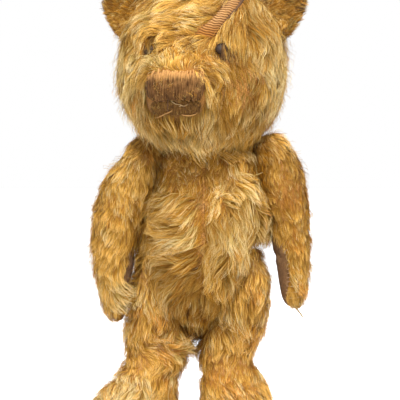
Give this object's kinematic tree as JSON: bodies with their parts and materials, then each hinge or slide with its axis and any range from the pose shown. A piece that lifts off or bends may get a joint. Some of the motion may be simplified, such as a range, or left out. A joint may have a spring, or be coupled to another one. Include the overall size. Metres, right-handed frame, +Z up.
{
  "type": "teddy bear",
  "caption": "Worn disc-jointed mohair teddy bear that stands on stiffened feet, with a turning head and swinging arms and legs.",
  "frame": {"origin": "on the floor under the middle of the bear's box, at the level of the soles", "axes": "+Z up; the bear's body faces -Y; its own left side is +X; the head is turned 15 degrees to its right"},
  "size_m": [0.2141, 0.1891, 0.456],
  "materials": {
    "mohair": "worn pile",
    "felt": "worn felt",
    "wood_wool": "packed shavings",
    "hardboard": "pressed board",
    "card": "grey-brown card",
    "steel": "dull",
    "nose_thread": "worn embroidery thread",
    "eye_glass": "dark glossy glass",
    "pale_thread": "linen thread",
    "straw": "dry stalk"
  },
  "bodies": {
    "body": {"body_left_half": "mohair", "body_right_half": "mohair", "body_stuffing": "wood_wool", "neck_inner_disc": "hardboard", "neck_inner_washer": "steel", "neck_pin": "steel", "shoulder_left_inner_disc": "hardboard", "shoulder_left_inner_washer": "steel", "shoulder_left_pin": "steel", "shoulder_right_inner_disc": "hardboard", "shoulder_right_inner_washer": "steel", "shoulder_right_pin": "steel", "hip_left_inner_disc": "hardboard", "hip_left_inner_washer": "steel", "hip_left_pin": "steel", "hip_right_inner_disc": "hardboard", "hip_right_inner_washer": "steel", "hip_right_pin": "steel"},
    "head": {"head_gusset": "mohair", "head_side_left": "mohair", "head_side_right": "mohair", "head_stuffing": "wood_wool", "ear_left": "mohair", "ear_right": "mohair", "eye_left": "eye_glass", "eye_right": "eye_glass", "nose": "nose_thread", "mouth_stitches": "nose_thread", "neck_outer_disc": "hardboard", "neck_outer_washer": "steel"},
    "left_arm": {"arm_outer_left": "mohair", "arm_inner_left": "mohair", "paw_pad_left": "felt", "arm_stuffing_left": "wood_wool", "paw_binding": "pale_thread", "straw_stalk": "straw", "shoulder_left_outer_disc": "hardboard", "shoulder_left_outer_washer": "steel"},
    "right_arm": {"arm_outer_right": "mohair", "arm_inner_right": "mohair", "paw_pad_right": "felt", "arm_stuffing_right": "wood_wool", "shoulder_right_outer_disc": "hardboard", "shoulder_right_outer_washer": "steel"},
    "left_leg": {"leg_outer_left": "mohair", "leg_inner_left": "mohair", "foot_pad_left": "felt", "insole_left": "card", "leg_stuffing_left": "wood_wool", "hip_left_outer_disc": "hardboard", "hip_left_outer_washer": "steel"},
    "right_leg": {"leg_outer_right": "mohair", "leg_inner_right": "mohair", "foot_pad_right": "felt", "insole_right": "card", "leg_stuffing_right": "wood_wool", "hip_right_outer_disc": "hardboard", "hip_right_outer_washer": "steel"}
  },
  "joints": [
    {"name": "neck", "type": "hinge", "parent": "body", "child": "head", "pos_m": [0.0057, 0.0158, 0.288], "axis": [0, 0, 1], "continuous": true},
    {"name": "left_shoulder", "type": "hinge", "parent": "body", "child": "left_arm", "pos_m": [0.0572, 0.0158, 0.262], "axis": [-0.9848, 0, -0.1736], "range_deg": [-90, 105]},
    {"name": "right_shoulder", "type": "hinge", "parent": "body", "child": "right_arm", "pos_m": [-0.0428, 0.0158, 0.262], "axis": [-0.9848, 0, 0.1736], "range_deg": [-90, 105]},
    {"name": "left_hip", "type": "hinge", "parent": "body", "child": "left_leg", "pos_m": [0.0297, 0.0158, 0.152], "axis": [-0.9135, 0, 0.4067], "range_deg": [-70, 80]},
    {"name": "right_hip", "type": "hinge", "parent": "body", "child": "right_leg", "pos_m": [-0.0383, 0.0158, 0.152], "axis": [-0.9135, 0, -0.4067], "range_deg": [-70, 60]}
  ]
}
